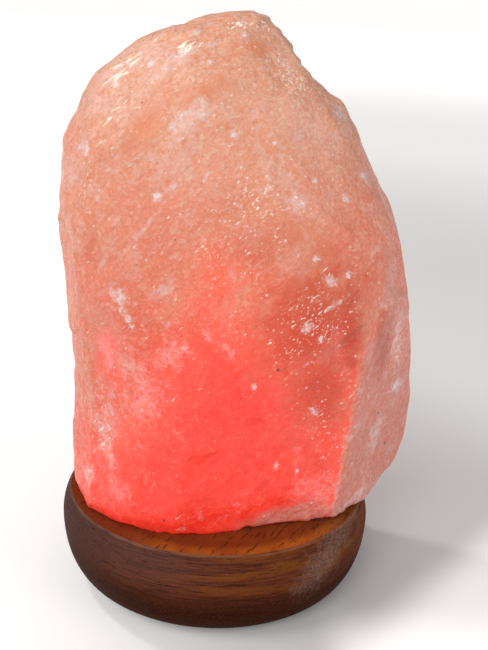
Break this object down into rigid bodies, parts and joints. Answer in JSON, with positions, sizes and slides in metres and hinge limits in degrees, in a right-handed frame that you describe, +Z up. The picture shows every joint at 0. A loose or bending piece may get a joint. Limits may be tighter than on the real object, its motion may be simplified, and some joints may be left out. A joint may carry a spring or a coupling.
{
  "type": "salt crystal lamp",
  "caption": "Hewn pink rock-salt crystal on a round turned wooden base, lit from inside by a small screw-in bulb in a spring-clipped holder.",
  "frame": {"origin": "centre of the underside, on the surface that the lamp stands on and on the axis of the round base", "axes": "+Z up along the base's axis and the bulb's axis; -Y is the front, with the broad face of the crystal; +X is on the right seen from the front"},
  "size_m": [0.1132, 0.1, 0.1786],
  "materials": {
    "wood": "satin",
    "felt": "matte",
    "salt": "satin",
    "zinc_steel": "satin",
    "spring_steel": "satin",
    "brass": "satin",
    "holder_plastic": "matte",
    "steatite": "matte",
    "cap_metal": "satin",
    "black_glass": "gloss",
    "solder": "satin",
    "clear_glass": "gloss",
    "lead_wire": "satin",
    "filament": "satin"
  },
  "bodies": {
    "holder": {"threaded_nipple": "brass", "nipple_nut": "brass", "spring_clip": "spring_steel", "holder_cap": "holder_plastic", "holder_skirt": "holder_plastic", "contact_block": "steatite", "centre_contact": "brass", "side_contact": "brass", "terminal_screws": "zinc_steel", "screw_shell": "brass"},
    "lamp_body": {"wood_base": "wood", "felt_ring": "felt", "salt_crystal": "salt", "crystal_screws": "zinc_steel"},
    "bulb": {"bulb_cap": "cap_metal", "bulb_insulator": "black_glass", "bulb_tip": "solder", "bulb_glass": "clear_glass", "bulb_stem": "clear_glass", "bulb_leads": "lead_wire", "filament_support": "lead_wire", "bulb_filament": "filament"}
  },
  "joints": [
    {"name": "holder_slide", "type": "slide", "parent": "holder", "child": "lamp_body", "axis": [0, 0, 1], "range_m": [0, 0.09]},
    {"name": "bulb_turn", "type": "hinge", "parent": "holder", "child": "bulb", "pos_m": [0, 0, 0.04], "axis": [0, 0, 1], "range_deg": [0, 1080]}
  ]
}
